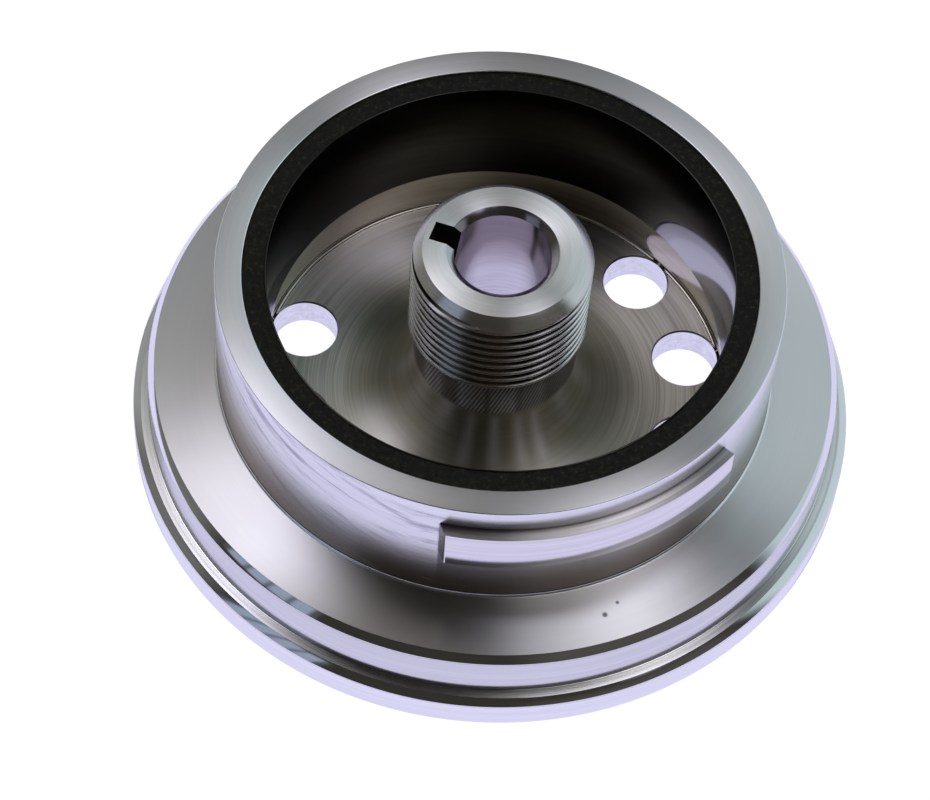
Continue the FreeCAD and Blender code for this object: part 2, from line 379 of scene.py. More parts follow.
def region(centre, normal):
    """Which finish a face of the rotor has, from where it lies and which way it faces.

    The margins beside the sizes keep each face clear of the surfaces next to it.
    """
    radius = math.hypot(centre.x, centre.y) / MM
    height = centre.z / MM
    up = normal.z
    outward_share = (normal.x * centre.x + normal.y * centre.y) / max(radius * MM, 1e-9)
    key_across = abs(normal.y * math.cos(KEY_ANGLE) - normal.x * math.sin(KEY_ANGLE))
    key_along = (centre.x * math.cos(KEY_ANGLE) + centre.y * math.sin(KEY_ANGLE)) / MM
    if radius < KEY_REACH + 0.45 and key_along > KEY_START and abs(up) < 0.1:
        if key_across > 0.98 or (key_along > KEY_REACH - 0.1 and outward_share < -0.9):
            return "keyway"
    if radius < THREAD_RADIUS + 0.1 and height > THREAD_FOOT - 0.05:
        return hub_region(radius, height, up, outward_share)
    if radius < BOSS_RADIUS - 0.7:
        return "bore"
    if radius < RIM_BORE - 3 and height > FLOOR - 0.05 and outward_share > -0.1:
        return "web"
    if radius < RIM_BORE + 0.05 and height > FLOOR - 0.02:
        return "pocket"
    if height > RIM_TOP - 0.35 and radius < RIM_BORE + 0.32 and up < 0.98:
        return "lip"
    if height > RIM_TOP - 0.6 and up > 0.9:
        return "rim"
    if radius > RIM_RADIUS + 0.1 and FACE_EDGE - 0.2 < height < FACE_FOOT + 0.2 and up > 0.9:
        return "flange"
    if height < FLOOR - 0.05 and radius < RIM_BORE - 1:
        return "hole" if height > WEB_BACK + 0.05 and abs(up) < 0.5 else "back"
    if up < -0.5 and height < WEB_BACK + 0.2:
        return "back"
    narrow = narrow_region(radius, height, up)
    if narrow:
        return narrow
    if height < LEDGE_HEIGHT - 0.4:
        return "outer"
    if radius > RIM_RADIUS + 0.02 and height > PAD_FOOT - 0.5:
        if up > 0.7:
            return "ledge"
        return "pad" if radius > PAD_RADIUS - 0.2 else "pad_end_shade"
    if height < FACE_EDGE + 0.1:
        return "step"
    if radius > RIM_RADIUS + 0.005 and height < FACE_FOOT + 0.8:
        # The steeper part of the foot's rounding carries a painted shade line.
        return "foot" if up > 0.4 else "foot_shade"
    return "wall"


def rotor_piece():
    """The steel body: turned blank with its pad, then cut by the thread, the keyway and the holes."""
    inner = RIM_RADIUS - INTO_WALL
    pad = turn_outline("pad", rounded([
        (inner, PAD_FOOT, 0), (PAD_RADIUS, PAD_FOOT, PAD_ROUND), (PAD_RADIUS, PAD_TOP, PAD_ROUND),
        (inner, PAD_TOP, 0)]), around=PAD_STEPS, first=PAD_FIRST, span=PAD_SPAN)
    body = combine(turn_outline("rotor", rotor_outline()), [pad, run_out_mesh(inner)], "UNION")
    cutters = [helix_cutter(), keyway_mesh()]
    for angle in HOLE_ANGLES:
        x = HOLE_CIRCLE * math.cos(math.radians(angle))
        y = HOLE_CIRCLE * math.sin(math.radians(angle))
        cutters.append(round_cutter(x, y, HOLE_RADIUS, HOLE_RADIUS, -CUT_PAST, FLOOR + CUT_PAST))
        cutters.append(round_cutter(x, y, HOLE_RADIUS - 0.05, HOLE_RADIUS + 0.55,
                                    FLOOR - HOLE_CHAMFER, FLOOR + HOLE_CHAMFER))
    return finished_piece("turned_rotor", combine(body, cutters, "DIFFERENCE"))


def finished_piece(name, mesh):
    """Smooth-shaded object of a mesh, its corners kept sharp."""
    piece = bpy.data.objects.new(name, mesh)
    SCENE.collection.objects.link(piece)
    mesh.shade_smooth()
    mesh.set_sharp_from_angle(angle=SHARP_ANGLE)
    return piece


Place = namedtuple("Place", "radius cosine sine height angle")


class Tree:
    """Short hand for building a node tree."""

    def __init__(self, tree):
        self.tree = tree

    def add(self, kind, **settings):
        node = self.tree.nodes.new(kind)
        for key, value in settings.items():
            setattr(node, key, value)
        return node

    def link(self, source, target):
        self.tree.links.new(source, target)

    def fill(self, sockets, values):
        """Gives each socket its value: a number, a colour, or an output to be linked."""
        for socket, value in zip(sockets, values):
            if isinstance(value, (int, float)):
                socket.default_value = value
            elif isinstance(value, tuple):
                socket.default_value = (*value, 1.0)
            elif value is not None:
                self.link(value, socket)

    def math(self, operation, first, second=None, third=None):
        node = self.add("ShaderNodeMath", operation=operation)
        self.fill(node.inputs, (first, second, third))
        return node.outputs[0]

    def mix_shader(self, factor, first, second):
        node = self.add("ShaderNodeMixShader")
        self.fill(node.inputs, (factor, first, second))
        return node.outputs[0]


class Nodes(Tree):
    """Short hand for the nodes of one material."""

    def __init__(self, name):
        self.material = bpy.data.materials.new(name)
        self.material.use_nodes = True
        super().__init__(self.material.node_tree)
        self.shader = self.tree.nodes["Principled BSDF"]

    def vector(self, x, y, z):
        node = self.add("ShaderNodeCombineXYZ")
        self.fill(node.inputs, (x, y, z))
        return node.outputs[0]

    def length(self, x, y):
        return self.math("SQRT", self.math("ADD", self.math("MULTIPLY", x, x), self.math("MULTIPLY", y, y)))

    def cylinder(self):
        """Where the point on the object lies round the axis: lengths in millimetres, angle in radians."""
        split = self.add("ShaderNodeSeparateXYZ")
        self.link(self.add("ShaderNodeTexCoord").outputs["Object"], split.inputs[0])
        x, y, z = (self.math("MULTIPLY", out, 1 / MM) for out in split.outputs)
        radius = self.length(x, y)
        cosine, sine = self.math("DIVIDE", x, radius), self.math("DIVIDE", y, radius)
        return Place(radius, cosine, sine, z, self.math("ARCTAN2", y, x))

    def noise(self, vector, scale, detail=2.0, rough=0.5, w=None):
        node = self.add("ShaderNodeTexNoise", noise_dimensions="4D" if w is not None else "3D")
        self.link(vector, node.inputs["Vector"])
        node.inputs["Scale"].default_value = scale
        node.inputs["Detail"].default_value = detail
        node.inputs["Roughness"].default_value = rough
        if w is not None:
            self.link(w, node.inputs["W"])
        return node.outputs["Fac"]

    def between(self, value, low, high):
        """Smooth step from 0 at low to 1 at high."""
        node = self.add("ShaderNodeMapRange", interpolation_type="SMOOTHSTEP")
        self.link(value, node.inputs["Value"])
        node.inputs["From Min"].default_value = low
        node.inputs["From Max"].default_value = high
        return node.outputs["Result"]

    def falling(self, value, low, high):
        """Smooth step from 1 at low to 0 at high."""
        return self.math("SUBTRACT", 1.0, self.between(value, low, high))

    def windows(self, angle, spans):
        """Sum of soft windows round the axis: middle, half width and softness in degrees, and weight."""
        total = None
        for middle, half, soft, weight in spans:
            away = self.math("ABSOLUTE", self.math("SUBTRACT", angle, math.radians(middle)))
            inside = self.falling(away, math.radians(half - soft), math.radians(half + soft))
            part = self.math("MULTIPLY", inside, weight)
            total = part if total is None else self.math("ADD", total, part)
        return total

    def ramp(self, factor, stops):
        """Colour of a factor, from stops of place and colour."""
        node = self.add("ShaderNodeValToRGB")
        self.link(factor, node.inputs[0])
        elements = node.color_ramp.elements
        for index, (place, colour) in enumerate(stops):
            element = elements[index] if index < 2 else elements.new(place)
            element.position = place
            element.color = (*colour, 1.0)
        return node.outputs[0]

    def mix(self, factor, first, second):
        """Second colour over the first, by the factor."""
        node = self.add("ShaderNodeMix", data_type="RGBA")
        self.fill((node.inputs[0], node.inputs[6], node.inputs[7]), (factor, first, second))
        return node.outputs[2]

    def bump(self, height):
        """Relief of the surface, its height in millimetres."""
        node = self.add("ShaderNodeBump")
        node.inputs["Strength"].default_value = 1.0
        node.inputs["Distance"].default_value = MM
        self.link(height, node.inputs["Height"])
        self.link(node.outputs[0], self.shader.inputs["Normal"])


# Marks on the steel, and painted highlights and painted shade. A window round the axis has its middle, half
# width and softness in degrees, and a weight;
# the pairs are heights or radii in millimetres between which the colour comes or goes.
SMEARED_SIDE = (-135, 50, 18, 0.85)
SMEAR_ELSEWHERE = 0.12
SMEAR_COLOUR = (0.36, 0.34, 0.42)
SMEAR_TURN = 1.8
SMEAR_SLOPE = 12.0
NEAR_HUB = (18.5, 31.0)
HATCH_LEAN = 20.0
HATCH_LINES = 130
HATCH_DEPTH = 0.05
HATCH_FOOT = (20.6, 22.4)
HATCH_TOP = 29.4
HATCH_DARK = (0.12, 0.11, 0.09)
# Painted highlights: the hatch lines are coloured bright only in a few windows round the axis.
HATCH_HIGHLIGHT_COLOUR = (0.95, 0.93, 0.95)
HATCH_HIGHLIGHT_GROUPS = [(-136, 9, 4, 0.5), (-103, 10, 3, 1.0), (-81.5, 9.5, 3, 1.0), (-60, 10, 4, 0.4)]
# Painted highlights: bright upright streaks on the sweep at a few places round the axis, between two heights.
FILLET_HIGHLIGHTS = [(-102, 3, 4, 1.0), (-86, 3, 4, 0.9), (-70, 3, 4, 0.6), (-58, 3, 4, 0.5)]
FILLET_HIGHLIGHT_FOOT = (9.5, 13.0)
FILLET_HIGHLIGHT_TOP = (19.0, 22.0)
FILLET_HIGHLIGHT_COLOUR = (0.95, 0.92, 0.88)
# Painted shade: the thread's groove goes near black below a radius.
GROOVE_SHADE_COLOUR = (0.012, 0.011, 0.010)
GROOVE_SHADE_FADE = 0.22
# Painted shade in inside corners.
CORNER_SHADE_COLOUR = (0.02, 0.018, 0.015)
SPOT_COLOUR = (0.16, 0.14, 0.14)
EDGE_TINT = (0.45, 0.45, 0.45, 1.0)


def turning_lines(n, place, pitch, along):
    """Fine and wide lines that run round the axis."""
    profile = n.vector(place.radius, place.height, n.math("MULTIPLY", place.cosine, along))
    turned = n.math("MULTIPLY", place.sine, along)
    found = []
    for per_millimetre, detail, rough in ((1.0 / pitch, 3.0, 0.65), (0.9, 2.0, 0.5)):
        lines = n.add("ShaderNodeVectorMath", operation="MULTIPLY")
        n.link(profile, lines.inputs[0])
        lines.inputs[1].default_value = (per_millimetre, per_millimetre, 1.0)
        found.append(n.noise(lines.outputs[0], 1.0, detail=detail, rough=rough, w=turned))
    return found


def beside_hub(n, place, base, rough, shade, near, roughness):
    """Coarser steel beside the hub, with the leaning hatch of the neck darkened and given painted highlights in
    groups, and painted highlight streaks on the sweep.
    """
    colour, near_rough = near
    away = n.between(place.radius, *NEAR_HUB)
    darker = tuple(part * 0.75 for part in colour)
    lighter = tuple(part * 1.25 for part in colour)
    base = n.mix(away, n.ramp(shade, [(0.2, darker), (0.8, lighter)]), base)
    beside = n.math("SUBTRACT", 1.0, away)
    rough = n.math("ADD", n.math("MULTIPLY", beside, near_rough - roughness), rough)
    slope = math.tan(math.radians(HATCH_LEAN)) / NECK
    leaning = n.math("SUBTRACT", place.angle, n.math("MULTIPLY", place.height, slope))
    ridge = n.math("ABSOLUTE", n.math("SINE", n.math("MULTIPLY", leaning, HATCH_LINES / 2)))
    below_top = n.math("LESS_THAN", place.height, HATCH_TOP)
    inside = n.math("MULTIPLY", n.between(place.height, *HATCH_FOOT), below_top)
    # Painted highlights: the hatch lines turn bright only inside the windows round the axis.
    hatch_highlight = n.math("MULTIPLY", n.between(ridge, 0.35, 0.8), n.windows(place.angle, HATCH_HIGHLIGHT_GROUPS))
    base = n.mix(n.math("MULTIPLY", inside, 0.8), base, n.mix(hatch_highlight, HATCH_DARK, HATCH_HIGHLIGHT_COLOUR))
    rough = n.math("MULTIPLY_ADD", n.math("MULTIPLY", inside, hatch_highlight), 0.3, rough)
    # Painted highlights: bright upright streaks on the sweep.
    sweep = n.math("MULTIPLY", n.between(place.height, *FILLET_HIGHLIGHT_FOOT), n.falling(place.height, *FILLET_HIGHLIGHT_TOP))
    fillet_highlight = n.math("MULTIPLY", n.windows(place.angle, FILLET_HIGHLIGHTS), sweep)
    return n.mix(fillet_highlight, base, FILLET_HIGHLIGHT_COLOUR), rough, n.math("MULTIPLY", ridge, inside)


def wiped_strokes(n, place, base, rough, depth):
    """Long faint strokes that sink along the left of the wall."""
    past = n.math("MINIMUM", n.math("ADD", place.angle, SMEAR_TURN), 0.0)
    level = n.math("MULTIPLY_ADD", past, SMEAR_SLOPE, place.height)
    drawn = n.vector(n.math("MULTIPLY", place.angle, 3.0), n.math("MULTIPLY", level, 0.5),
                     n.math("MULTIPLY", place.angle, 0.7))
    stroke = n.between(n.noise(drawn, 1.0, detail=4.0, rough=0.6), 0.50, 0.70)
    share = n.math("ADD", n.windows(place.angle, [SMEARED_SIDE]), SMEAR_ELSEWHERE)
    strength = n.math("MULTIPLY", stroke, share)
    base = n.mix(n.math("MULTIPLY", strength, depth), base, SMEAR_COLOUR)
    return base, n.math("MULTIPLY_ADD", strength, 0.08, rough)


def painted_light_patches(n, place, base, patches, along):
    """Painted highlights and painted shade in patches of other colour: middle, half width and softness in
    degrees round the axis, the same in millimetres of radius or height, weight and colour."""
    for turn, half_turn, soft_turn, level, half_level, soft_level, weight, colour in patches:
        away = n.math("ABSOLUTE", n.math("SUBTRACT", along, level))
        inside = n.falling(away, half_level - soft_level, half_level + soft_level)
        window = n.windows(place.angle, [(turn, half_turn, soft_turn, weight)])
        base = n.mix(n.math("MULTIPLY", inside, window), base, colour)
    return base


def dark_spots(n, place, base, spots):
    """Small round marks of x, y and radius in millimetres."""
    for x, y, size in spots:
        across = n.math("SUBTRACT", n.math("MULTIPLY", place.cosine, place.radius), x)
        up = n.math("SUBTRACT", n.math("MULTIPLY", place.sine, place.radius), y)
        away = n.length(across, up)
        base = n.mix(n.between(away, size * 0.5, size * 1.5), SPOT_COLOUR, base)
    return base


def painted_glancing_reflection(n, place, base, colour, only_at):
    """Painted reflection: other colour where the surface is seen at a glancing angle, or only at one part round
    the axis.
    """
    facing = n.add("ShaderNodeLayerWeight").outputs["Facing"]
    reflection_share = n.between(facing, 0.5, 0.85)
    if only_at:
        reflection_share = n.math("MULTIPLY", reflection_share, n.windows(place.angle, [only_at]))
        n.shader.inputs["Specular Tint"].default_value = EDGE_TINT
    return n.mix(reflection_share, base, colour)


def painted_corner_shade(n, base, width):
    """Painted shade: a dark line of a width in millimetres in an inside corner, where ambient occlusion finds
    the corner.
    """
    occlusion = n.add("ShaderNodeAmbientOcclusion", samples=3, only_local=True)
    occlusion.inputs["Distance"].default_value = width * MM
    return n.mix(n.between(occlusion.outputs["AO"], 0.45, 0.85), CORNER_SHADE_COLOUR, base)


def steel(name, colour, roughness, anisotropy, fine=0.0, coarse=0.0, spread=0.12, tint=0.06, pitch=0.22,
          along=1.2, near=None, groove=None, corner=0.0, grazing=None, grazing_at=None, smear=0.0,
          low_shade=None, marks=(), patches=(), by_height=False, lean=0.0):
    """Turned steel. fine and coarse are the depths in millimetres of the turning lines, pitch their spacing,
    spread how much roughness varies, tint how much the colour does, and along how fast the lines change
    round the axis. near is the colour and roughness beside the hub, with painted highlights on the hatch and
    the sweep, groove the radius below which a thread is painted dark as shade, corner the width of the
    painted shade line in an inside corner, grazing and grazing_at the colour and the place of a painted
    reflection at a glancing view, smear the depth of wiped strokes, low_shade two heights and the colour of
    painted shade that fades upwards, marks dark spots, patches soft areas of painted highlight and shade by
    radius or by_height, and lean an angle in degrees by which the surface faces up."""
    n = Nodes(name)
    place = n.cylinder()
    fine_lines, wide_lines = turning_lines(n, place, pitch, along)
    point = n.vector(n.math("MULTIPLY", place.cosine, place.radius),
                     n.math("MULTIPLY", place.sine, place.radius), place.height)
    blotch = n.noise(point, 0.055, detail=3.0, rough=0.55)
    shade = n.math("ADD", n.math("MULTIPLY", fine_lines, 0.6), n.math("MULTIPLY", wide_lines, 0.4))
    swing = tint * 2.2
    low = tuple(max(0.0, part * (1 - swing)) for part in colour)
    high = tuple(min(1.0, part * (1 + swing)) for part in colour)
    base = n.ramp(shade, [(0.25, low), (0.75, high)])
    # Painted shade: the thread's groove is coloured near black below the groove radius.
    if groove:
        base = n.mix(n.between(place.radius, groove, groove + GROOVE_SHADE_FADE), GROOVE_SHADE_COLOUR, base)
    uneven = n.math("ADD", n.math("MULTIPLY", fine_lines, 0.5), n.math("MULTIPLY", blotch, 0.5))
    rough = n.math("MULTIPLY_ADD", n.math("SUBTRACT", uneven, 0.5), spread * 2.0, roughness)
    depth = n.math("MULTIPLY", fine_lines, fine)
    if coarse:
        depth = n.math("MULTIPLY_ADD", wide_lines, coarse, depth)
    if near:
        base, rough, hatch = beside_hub(n, place, base, rough, shade, near, roughness)
        depth = n.math("ADD", depth, n.math("MULTIPLY", hatch, HATCH_DEPTH))
    if smear:
        base, rough = wiped_strokes(n, place, base, rough, smear)
    # Painted shade: the surface darkens towards its foot and fades out upwards.
    if low_shade:
        low_edge, high_edge, low_shade_colour = low_shade
        base = n.mix(n.falling(place.height, low_edge, high_edge), base, low_shade_colour)
    # Painted highlights and painted shade in soft patches.
    base = painted_light_patches(n, place, base, patches, place.height if by_height else place.radius)
    base = dark_spots(n, place, base, marks)
    if grazing:
        base = painted_glancing_reflection(n, place, base, grazing, grazing_at)
    # Painted shade in inside corners.
    if corner:
        base = painted_corner_shade(n, base, corner)
    if lean:
        depth = n.math("MULTIPLY_ADD", place.height, -math.tan(math.radians(lean)), depth)
    tangent = n.add("ShaderNodeTangent", direction_type="RADIAL", axis="Z")
    n.link(base, n.shader.inputs["Base Color"])
    n.link(n.math("MINIMUM", n.math("MAXIMUM", rough, 0.04), 0.9), n.shader.inputs["Roughness"])
    n.link(tangent.outputs[0], n.shader.inputs["Tangent"])
    n.shader.inputs["Metallic"].default_value = 1.0
    n.shader.inputs["Anisotropic"].default_value = anisotropy
    n.shader.inputs["Anisotropic Rotation"].default_value = 0.25
    n.bump(depth)
    return n.material


# Painted highlights and painted shade on each surface, as soft areas of other colour in the form that the patch
# function reads.
WEB_LIGHT_PATCHES = [
    (132, 16, 13, 37, 6, 4, 0.65, (0.98, 0.91, 0.93)),
    (68, 18, 14, 38, 8, 5, 0.75, (0.20, 0.18, 0.14)),
    (146, 16, 12, 24, 6, 5, 0.7, (0.17, 0.17, 0.13)),
    (-148, 16, 11, 23.5, 3, 3, 0.85, (0.98, 0.95, 0.90)),
    (-50, 16, 12, 24, 3, 3, 0.5, (0.95, 0.92, 0.86)),
]
BORE_LIGHT_PATCHES = [
    (143, 19, 13, 34, 18, 4, 0.85, (0.15, 0.13, 0.12)),
    (33, 26, 14, 34, 18, 4, 0.85, (0.15, 0.13, 0.12)),
    (90, 60, 20, 43, 9, 5, 0.7, (0.30, 0.24, 0.25)),
]
THREAD_LIGHT_PATCHES = [
    (-114, 14, 9, 39, 12, 3, 0.55, (0.26, 0.26, 0.20)),
    (-90, 9, 6, 38, 12, 3, 0.45, (0.45, 0.30, 0.22)),
]
FLANGE_LIGHT_PATCHES = [
    (-101, 13, 7, 56, 9, 3, 0.5, (0.33, 0.30, 0.26)),
    (-122, 10, 9, 57, 5, 4, 0.6, (0.97, 0.95, 0.98)),
]
RIM_LIGHT_PATCHES = [
    (-130, 24, 14, 47.5, 5, 1, 0.75, (0.92, 0.91, 0.97)),
    (58, 26, 18, 47.5, 5, 1, 0.6, (0.40, 0.41, 0.43)),
    (-88, 12, 10, 47.5, 5, 1, 0.3, (0.50, 0.50, 0.50)),
]
FLANGE_SPOTS = [(22.8, -51.5, 0.45), (24.8, -48.9, 0.3)]
STEEL = (0.74, 0.73, 0.745)
GROUND = (0.90, 0.89, 0.91)
FINISHES = {
    "rim": steel("steel_rim", STEEL, 0.33, 0.95, fine=0.002, pitch=0.3, spread=0.05, tint=0.03, along=0.8,
                 patches=RIM_LIGHT_PATCHES),
    "flange": steel("steel_flange", STEEL, 0.31, 0.96, fine=0.001, pitch=0.3, spread=0.05, tint=0.015,
                    marks=FLANGE_SPOTS, patches=FLANGE_LIGHT_PATCHES),
    "boss": steel("steel_boss", (0.90, 0.89, 0.91), 0.34, 0.9, fine=0.002, pitch=0.35, spread=0.06),
    "web": steel("steel_web", (0.62, 0.59, 0.53), 0.38, 0.93, fine=0.022, coarse=0.008, pitch=0.32, tint=0.26,
                 along=0.7, near=((0.42, 0.40, 0.31), 0.46), corner=0.5, patches=WEB_LIGHT_PATCHES),
    # The pocket has a painted reflection at glancing views.
    "pocket": steel("steel_pocket", (0.50, 0.455, 0.38), 0.16, 0.5, fine=0.002, pitch=0.5, corner=0.4,
                    grazing=(0.85, 0.84, 0.84)),
    "bore": steel("steel_bore", (0.60, 0.58, 0.61), 0.16, 0.4, fine=0.01, coarse=0.004, pitch=0.5, tint=0.1,
                  patches=BORE_LIGHT_PATCHES, by_height=True),
    # Painted shade: the keyway's walls are coloured near black.
    "keyway": steel("steel_keyway_shade", (0.06, 0.05, 0.045), 0.4, 0.0, fine=0.002, pitch=0.5),
    "lip": steel("steel_lip", (0.97, 0.98, 0.98), 0.14, 0.3, fine=0.0005, pitch=0.5, spread=0.03),
    "edge": steel("steel_edge", (0.98, 0.98, 0.98), 0.15, 0.3, pitch=0.5, spread=0.03, lean=-22.0),
    "hub_edge": steel("steel_hub_edge", (0.80, 0.77, 0.74), 0.24, 0.7, fine=0.001, pitch=0.5, spread=0.06),
    "thread": steel("steel_thread", (0.95, 0.91, 0.87), 0.25, 0.5, fine=0.001, pitch=0.4, groove=15.55,
                    patches=THREAD_LIGHT_PATCHES, by_height=True),
    # The wall has painted shade at its foot and in its corners.
    "wall": steel("steel_wall", GROUND, 0.24, 0.6, fine=0.001, coarse=0.001, pitch=0.5, spread=0.05,
                  corner=0.6, smear=0.7, low_shade=(20.0, 33.0, (0.42, 0.375, 0.32))),
    "foot": steel("steel_foot", (0.97, 0.96, 0.93), 0.2, 0.4, fine=0.0005, pitch=0.5, spread=0.05),
    # Painted shade: a near black line where the wall meets the flange.
    "foot_shade": steel("steel_foot_line", (0.07, 0.065, 0.055), 0.4, 0.0, fine=0.001, pitch=0.5),
    "pad": steel("steel_pad", (0.80, 0.78, 0.79), 0.12, 0.5, fine=0.0005, pitch=0.5, spread=0.04, lean=6.0),
    "ledge": steel("steel_ledge", (0.62, 0.60, 0.60), 0.31, 0.96, fine=0.006, pitch=0.5, spread=0.05, tint=0.25,
                   corner=0.7),
    "low_ledge": steel("steel_low_ledge", STEEL, 0.28, 0.95, fine=0.006, pitch=0.4, spread=0.05, tint=0.2,
                       along=1.5, corner=0.5),
    # Painted shade: the pad's sloping ends are coloured darker.
    "pad_end_shade": steel("steel_pad_end", (0.34, 0.31, 0.31), 0.25, 0.3, fine=0.001, pitch=0.5, spread=0.05),
    "outer": steel("steel_outer", (0.97, 0.96, 0.96), 0.12, 0.6, fine=0.001, pitch=0.5, spread=0.05),
    "step": steel("steel_step", (0.74, 0.73, 0.74), 0.13, 0.6, fine=0.001, pitch=0.5, spread=0.05, corner=0.5),
    "chamfer": steel("steel_chamfer", (0.88, 0.88, 0.89), 0.07, 0.4, fine=0.0003, pitch=0.5, spread=0.04),
    "hole": steel("steel_hole", (0.88, 0.86, 0.90), 0.2, 0.0, fine=0.03, coarse=0.05, pitch=0.9, tint=0.1),
    "back": steel("steel_back", STEEL, 0.4, 0.8, fine=0.006, coarse=0.004, pitch=0.4),
}


RESIN_GRAIN = 2200.0
RESIN_PATCHES = 900.0
RESIN_RELIEF = 0.35
RESIN_TONES = [(0.44, (0.003, 0.003, 0.002)), (0.56, (0.013, 0.012, 0.006)), (0.66, (0.055, 0.048, 0.024))]
FLECK_CELLS = 190.0
FLECK_SIZE = 0.07
FLECK_COLOUR = (0.55, 0.52, 0.42)


def moulding_finish():
    """Black filled resin with a rough, flecked top."""
    n = Nodes("resin_black")
    place = n.add("ShaderNodeTexCoord").outputs["Object"]
    grain = n.noise(place, RESIN_GRAIN, detail=3.0, rough=0.7)
    patches = n.noise(place, RESIN_PATCHES, detail=4.0, rough=0.65)
    mixed = n.math("ADD", n.math("MULTIPLY", grain, 0.45), n.math("MULTIPLY", patches, 0.55))
    cells = n.add("ShaderNodeTexVoronoi", voronoi_dimensions="3D", feature="F1")
    n.link(place, cells.inputs["Vector"])
    cells.inputs["Scale"].default_value = FLECK_CELLS
    chosen = n.add("ShaderNodeSeparateColor")
    n.link(cells.outputs["Color"], chosen.inputs[0])
    near = n.math("LESS_THAN", cells.outputs["Distance"], FLECK_SIZE)
    fleck = n.math("MULTIPLY", near, n.math("GREATER_THAN", chosen.outputs[0], 0.80))
    base = n.mix(fleck, n.ramp(mixed, RESIN_TONES), FLECK_COLOUR)
    n.link(base, n.shader.inputs["Base Color"])
    n.link(n.math("MULTIPLY_ADD", grain, 0.3, 0.45), n.shader.inputs["Roughness"])
    n.shader.inputs["Specular IOR Level"].default_value = 0.2
    n.bump(n.math("MULTIPLY", mixed, RESIN_RELIEF))
    return n.material


def sleeve_finish():
    """Thin drawn sheet, dark and smooth."""
    # Painted reflection: a bright patch at glancing views on one side of the sleeve.
    return steel("steel_sleeve", (0.05, 0.047, 0.042), 0.10, 0.4, fine=0.0003, pitch=1.2, tint=0.05,
                 spread=0.04, grazing=(0.97, 0.96, 0.98), grazing_at=(20, 32, 12, 1.0))


def paint(piece, materials, node):
    """Gives a piece its materials, hangs it under the root body, and hides the CAD part that it stands in for.
    """
    piece.data.materials.clear()
    for material in materials:
        piece.data.materials.append(material)
    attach(piece, "root")
    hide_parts(node)


def ring_piece(name, corners, material, node):
    paint(finished_piece(name, turn_outline(name, rounded(corners))), [material], node)


rotor = rotor_piece()
names = list(FINISHES)
paint(rotor, list(FINISHES.values()), "rotor_body")
for face in rotor.data.polygons:
    face.material_index = names.index(region(face.center, face.normal))

MOULDING_TOP = 43.5
MOULDING_WAVE = [(44.2, 0.02), (43.2, -0.03), (42.2, 0.02)]
MAGNET_INNER = 41.3
SLEEVE_BORE = 41.0
SLEEVE_TOP = 43.7
SLEEVE_ROUND = 0.1
SLEEVE_FOOT_ROUND = 0.08

ring_piece("moulding_ring", [(MAGNET_INNER, SHOULDER, 0), (RIM_BORE, SHOULDER, 0), (RIM_BORE, MOULDING_TOP, 0)]
           + [(radius, MOULDING_TOP + up, 0) for radius, up in MOULDING_WAVE]
           + [(MAGNET_INNER, MOULDING_TOP, 0)], moulding_finish(), "magnet_moulding")
ring_piece("sleeve_ring", [
    (SLEEVE_BORE, SHOULDER, SLEEVE_FOOT_ROUND), (MAGNET_INNER, SHOULDER, SLEEVE_FOOT_ROUND),
    (MAGNET_INNER, SLEEVE_TOP, SLEEVE_ROUND), (SLEEVE_BORE, SLEEVE_TOP, SLEEVE_ROUND)],
    sleeve_finish(), "magnet_sleeve")

magnet_finish = steel("ferrite", (0.10, 0.10, 0.11), 0.6, 0.0, fine=0.004, pitch=0.8)
for number in range(1, 13):
    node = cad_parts["magnet_%02d" % number]
    node.data.materials.clear()
    node.data.materials.append(magnet_finish)


GLOW_SHARE = 0.9
SEEN_COLOUR = (1.0, 1.0, 1.0)
SEEN_GLOW = 1.12
MIRRORED_COLOUR = (0.76, 0.74, 1.0)
MIRRORED_GLOW = 1.06
MATTE_COLOUR = (0.8, 0.8, 0.8)
FLOOR_DROP = 0.00002


def floor_material():
    """Pale floor that keeps the shadow: white to the camera, lilac in the steel, and plain to other light."""
    material = bpy.data.materials.new("floor")
    material.use_nodes = True
    nodes = Tree(material.node_tree)
    nodes.tree.nodes.clear()
    matte = nodes.add("ShaderNodeBsdfDiffuse")
    nodes.fill(matte.inputs, [MATTE_COLOUR])

    def glowing(colour, strength):
        glow = nodes.add("ShaderNodeEmission")
        nodes.fill(glow.inputs, (colour, strength))
        return nodes.mix_shader(GLOW_SHARE, matte.outputs[0], glow.outputs[0])

    path = nodes.add("ShaderNodeLightPath").outputs
    in_metal = nodes.math("MAXIMUM", path["Is Glossy Ray"], path["Is Transmission Ray"])
    unseen = nodes.mix_shader(in_metal, matte.outputs[0], glowing(MIRRORED_COLOUR, MIRRORED_GLOW))
    shown = nodes.mix_shader(path["Is Camera Ray"], unseen, glowing(SEEN_COLOUR, SEEN_GLOW))
    nodes.link(shown, nodes.add("ShaderNodeOutputMaterial").inputs[0])
    return material


FLOOR_HALF = 3.0
floor_mesh = mesh_of("floor", [(-FLOOR_HALF, -FLOOR_HALF, 0), (FLOOR_HALF, -FLOOR_HALF, 0),
                               (FLOOR_HALF, FLOOR_HALF, 0), (-FLOOR_HALF, FLOOR_HALF, 0)], [(0, 1, 2, 3)])
studio_floor = bpy.data.objects.new("floor", floor_mesh)
studio_floor.location.z = -FLOOR_DROP
SCENE.collection.objects.link(studio_floor)
floor_mesh.materials.append(floor_material())


